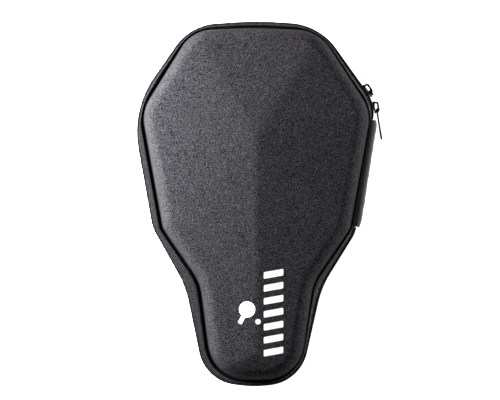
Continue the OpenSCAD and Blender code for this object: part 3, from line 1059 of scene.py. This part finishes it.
def pull(name, place, body, node):
    """A cast tab: an eye, a waist, a recessed grip."""
    bm = bmesh.new()
    rim = bmesh.ops.create_circle(bm, segments=72, radius=1)["verts"]
    for vert, (point, _) in zip(rim, PULL_OUTLINE.walk(72)):
        vert.co = (point.x, point.y, 0)
    bmesh.ops.create_circle(bm, segments=24, radius=PULL_EYE)
    slot = Matrix.Translation((-PULL_LENGTH + 2.9, 0, 0)) @ Matrix.Diagonal((1, 1.5, 1, 1))
    bmesh.ops.create_circle(bm, segments=20, radius=1.1, matrix=slot)
    sheet = bmesh.ops.triangle_fill(bm, edges=bm.edges, use_beauty=True)["geom"]
    faces = [item for item in sheet if isinstance(item, bmesh.types.BMFace)]
    raised = bmesh.ops.extrude_face_region(bm, geom=faces)["geom"]
    bmesh.ops.translate(bm, verts=verts_in(raised), vec=(0, 0, PULL_THICKNESS))
    bmesh.ops.recalc_face_normals(bm, faces=bm.faces)
    for way in (1, -1):
        side = [face for face in bm.faces if face.normal.z * way > 0.9]
        bmesh.ops.inset_region(bm, faces=side, thickness=0.18, depth=0, use_even_offset=True)
        bmesh.ops.inset_region(bm, faces=side, thickness=0.35, depth=0, use_even_offset=True)
        bmesh.ops.inset_region(bm, faces=side, thickness=0.15, depth=-0.16, use_even_offset=True)
    border = [edge for edge in bm.edges if len(edge.link_faces) == 2 and edge.calc_face_angle() > 1.2
              and abs(edge.verts[0].co.z - edge.verts[1].co.z) < 1e-4]
    bmesh.ops.bevel(bm, geom=border, offset=0.14, affect="EDGES", segments=2, profile=0.5, material=-1)
    # The tab is drawn flat: its face turns to look out of the case.
    stand = place @ Matrix.Translation((LEG_X, -PULL_OUT, 0)) @ Matrix.Rotation(math.radians(90), 4, "X")
    bmesh.ops.transform(bm, verts=bm.verts, matrix=stand)
    make_piece(name, bm, ENAMEL, body, [node], crease=35)


# The upper tab is turned down about the leg of its bail.
to_leg, from_leg = Matrix.Translation((LEG_X, 0, 0)), Matrix.Translation((-LEG_X, 0, 0))
hang = to_leg @ Matrix.Rotation(math.radians(-90), 4, "Y") @ from_leg
slider("upper_slider_plates", UPPER_PLACE, "upper_slider", "upper_slider_body")
slider("lower_slider_plates", LOWER_PLACE, "lower_slider", "lower_slider_body")
bail("upper_slider_arch", UPPER_PLACE, "upper_slider", "upper_slider_bail")
bail("lower_slider_arch", LOWER_PLACE, "lower_slider", "lower_slider_bail")
pull("upper_pull", UPPER_PLACE @ hang, "upper_pull", "upper_pull_tab")
pull("lower_pull", LOWER_PLACE, "lower_pull", "lower_pull_tab")

# ---------------- inside: strap, patches, net

STRAP_Y = -98
STRAP_WIDTH = 25
STRAP_RISE = 21
STRAP = 1.2
STRAP_STEPS = 60
FLOOR = WALL + LINING_GAP + LINING
STRAP_FOOT = FLOOR + 0.3


def strap():
    """A flat band in a half circle over the handle."""
    def row(radius, y):
        angles = [math.pi * i / STRAP_STEPS for i in range(STRAP_STEPS + 1)]
        return [(-radius * math.cos(angle), STRAP_Y + y, STRAP_FOOT + radius * math.sin(angle))
                for angle in angles]

    half = STRAP_WIDTH / 2
    profile = [(STRAP_RISE - 0.25, -half), (STRAP_RISE, -half + 0.3)]
    profile += [(STRAP_RISE, -half + 0.3 + step * (STRAP_WIDTH - 0.6) / 6) for step in range(1, 7)]
    profile += [(STRAP_RISE - 0.25, half), (STRAP_RISE - STRAP + 0.25, half),
                (STRAP_RISE - STRAP, half - 0.3), (STRAP_RISE - STRAP, -half + 0.3),
                (STRAP_RISE - STRAP + 0.25, -half)]
    skin = sweep_section(row, profile, closed=False)
    skin.close_round(row(*profile[0]))
    make_piece("handle_strap", skin.bm, ELASTIC, "rear_tray", ["bat_strap"], crease=60)


strap()
PATCH_X = STRAP_RISE + 2.6
PATCH_SIZE = (5, STRAP_WIDTH + 2, 0.8)


def patches():
    bm = bmesh.new()
    lines = []
    for side in (-1, 1):
        add_block(bm, PATCH_SIZE, (side * PATCH_X, STRAP_Y, FLOOR + 0.62), 0.32, 3)
        top = FLOOR + 1.02
        for offset in (-1.6, 1.6):
            for i in range(8):
                start = Vector((side * PATCH_X + offset, STRAP_Y - 12.2 + i * 3.1, top))
                lines.append((start, start + Vector((0, 2.4, 0)), STANDING))
        for end in (-12.4, 12.4):
            start = Vector((side * PATCH_X - 1.5, STRAP_Y + end, top))
            lines.append((start, start + Vector((3.0, 0, 0)), STANDING))
    make_piece("strap_foot_patches", bm, KNIT, "rear_tray", ["strap_patches"], crease=40)
    wire_piece("patch_stitches", stitches_along(lines, 0.12), 0.2, TACK_THREAD, "rear_tray")


patches()
NET_Z = LID_RIM + 1.8
NET_PITCH = 4.5
NET_LEAN = 1.25
NET_CUTS = range(-28, 29)
NET_YARN = 0.46
NET_MARGIN = 8.2
NET_MOUTH_Y = 30
NET_LOW_Y = -69.5


def ball_net():
    """Knitted diamonds, cut to the lid's inner outline."""
    outline = [point - out * NET_MARGIN for point, out in FOOT.walk(240)]
    outline = [point for point in outline if NET_LOW_Y < point.y < NET_MOUTH_Y]
    bm = bmesh.new()
    verts = bmesh.ops.create_circle(bm, segments=len(outline), radius=1)["verts"]
    # The outline loses its parts beyond the mouth and the handle, so its two sides join straight across.
    for vert, point in zip(verts, sorted(outline, key=lambda p: math.atan2(p.y + 12, p.x))):
        vert.co = (point.x, point.y, 0)
    face = bmesh.ops.contextual_create(bm, geom=bm.edges)["faces"][0]
    geom = [face, *face.edges, *face.verts]
    for lean in (NET_LEAN, -NET_LEAN):
        geom = cut_along(bm, geom, Vector((1, lean, 0)).normalized(), NET_CUTS, NET_PITCH)
    bmesh.ops.remove_doubles(bm, verts=bm.verts, dist=0.4)
    bmesh.ops.wireframe(bm, faces=bm.faces, thickness=NET_YARN, offset=0, use_replace=True,
                        use_boundary=True, use_even_offset=True)
    for vert in bm.verts:
        slack = noise.noise(Vector((vert.co.x * 0.07, vert.co.y * 0.07, 5.0)))
        vert.co.z += NET_Z + 0.12 * slack
    piece = make_piece("ball_net_mesh", bm, NET, "lid", ["ball_net"], crease=60)


ball_net()


ELASTIC_SAMPLES = 220
ELASTIC_SIDES = 12


def net_elastic():
    """A gathered cord along the net's mouth."""
    low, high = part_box("net_elastic")
    low, high = low / MM, high / MM
    centre = (low + high) / 2

    def row(angle):
        places = []
        for i in range(ELASTIC_SAMPLES):
            x = low.x + 0.4 + (high.x - low.x - 0.8) * i / (ELASTIC_SAMPLES - 1)
            gather = 1 - 0.10 * (1 + math.sin(x * 2.1 + 0.6 * math.sin(x * 0.31))) / 2
            places.append((x, centre.y + 1.22 * gather * math.cos(angle),
                           centre.z + 0.92 * gather * math.sin(angle)))
        return places

    skin = Sweep(row(0), closed=False)
    for i in range(1, ELASTIC_SIDES):
        skin.draw(row(2 * math.pi * i / ELASTIC_SIDES))
    skin.close_round(row(0))
    make_piece("net_mouth_elastic", skin.bm, ELASTIC, "lid", ["net_elastic"], crease=60)


net_elastic()

# ---------------- the printed device

INK_RISE = 0.10
BAT_RADIUS = 6.6
BALL_RADIUS = 2.2
STRIPES = 7
STRIPE_PITCH = 10.6
STRIPE = [(-8, -3.6), (8, -0.8), (8, 4.6), (-8, 1.8)]


def mark():
    """A bat, a ball and a column of slanted stripes, printed on the handle."""
    bm = bmesh.new()
    bat = bmesh.ops.create_circle(bm, segments=48, radius=BAT_RADIUS, cap_ends=True)["verts"]
    foot_edges = [edge for edge in bm.edges if all(vert.co.y < -6.25 for vert in edge.verts)]
    grip = verts_in(bmesh.ops.extrude_edge_only(bm, edges=foot_edges)["geom"])
    for vert in grip:
        vert.co.y = -13
    place = Matrix.Translation((-7.6, -86, 0)) @ Matrix.Rotation(math.radians(-28), 4, "Z")
    bmesh.ops.transform(bm, verts=bat + grip, matrix=place)
    ball = Matrix.Translation((1.4, -96, 0))
    bmesh.ops.create_circle(bm, segments=32, radius=BALL_RADIUS, cap_ends=True, matrix=ball)
    for i in range(STRIPES):
        verts = bmesh.ops.create_circle(bm, segments=4, radius=1, cap_ends=True)["verts"]
        for vert, (x, y) in zip(verts, STRIPE):
            vert.co = (14 + x, -121 + i * STRIPE_PITCH + y, 0)
        bmesh.ops.bevel(bm, geom=verts, offset=0.9, affect="VERTICES", segments=4, profile=0.5, material=-1)
    bmesh.ops.dissolve_limit(bm, angle_limit=0.01, verts=bm.verts, edges=bm.edges)
    geom = [*bm.faces, *bm.edges, *bm.verts]
    for way, steps in ((Vector((1, 0, 0)), range(-10, 13)), (Vector((0, 1, 0)), range(-70, -22))):
        geom = cut_along(bm, geom, way, steps, FINE_GRID)
    upper = set(verts_in(bmesh.ops.extrude_face_region(bm, geom=list(bm.faces))["geom"]))
    for vert in bm.verts:
        vert.co.z = LID_FACE + lid_top(vert.co.x, vert.co.y) + (INK_RISE if vert in upper else -0.15)
    make_piece("printed_device", bm, INK, "lid", ["printed_mark"], crease=50)


mark()

# ---------------- floor, light and camera

FLOOR_GLOW = 0.9
AIR_GLOW = 0.09


def pale_floor():
    finish = Finish("pale_floor", Specular_IOR_Level=0.1, Emission_Strength=FLOOR_GLOW)
    finish.set(Emission_Color=(1, 1, 1, 1))
    cloud = finish.grain(120, detail=1)
    finish.set(Base_Color=finish.mix(cloud, (0.88, 0.88, 0.88), (0.90, 0.90, 0.90)), Roughness=0.9)
    bm = bmesh.new()
    bmesh.ops.create_grid(bm, x_segments=1, y_segments=1, size=6)
    mesh = bpy.data.meshes.new("studio_floor")
    bm.to_mesh(mesh)
    bm.free()
    mesh.materials.append(finish.material)
    floor = bpy.data.objects.new("studio_floor", mesh)
    floor.location.z = -0.0005
    add_to_scene(floor)


def area_light(name, place, aim, size, power):
    lamp = bpy.data.lights.new(name, "AREA")
    lamp.shape = "RECTANGLE"
    lamp.size, lamp.size_y = size
    lamp.energy = power
    holder = bpy.data.objects.new(name, lamp)
    holder.location = place
    holder.visible_camera = False
    holder.rotation_euler = (Vector(aim) - Vector(place)).to_track_quat("-Z", "Y").to_euler()
    add_to_scene(holder)


pale_floor()
area_light("left_low_key", (-0.36, 0.12, 0.132), (0.02, 0.0, 0.04), (0.36, 0.10), 21)
area_light("overhead_soft", (-0.1, 0.3, 2.3), (0, 0, 0), (2.2, 2.2), 6)
area_light("right_rim", (0.46, 0.12, 0.075), (0.05, 0.02, 0.04), (0.7, 0.04), 4.4)

world = bpy.data.worlds.new("studio_air")
world.use_nodes = True
air = world.node_tree.nodes["Background"].inputs
air["Color"].default_value = (1, 1, 1, 1)
air["Strength"].default_value = AIR_GLOW
scene.world = world
scene.view_settings.view_transform = "Standard"

CAMERA_DISTANCE = 1.6
CAMERA_WIDTH = 0.412
CAMERA_AIM = (-0.0052, 0.0033, 0.035)
FILM_WIDTH = 36
lens = bpy.data.cameras.new("camera")
lens.sensor_width = FILM_WIDTH
lens.lens = FILM_WIDTH * CAMERA_DISTANCE / CAMERA_WIDTH
lens.clip_end = 20
camera = bpy.data.objects.new("camera", lens)
camera.location = (CAMERA_AIM[0], CAMERA_AIM[1], CAMERA_AIM[2] + CAMERA_DISTANCE)
add_to_scene(camera)
scene.camera = camera
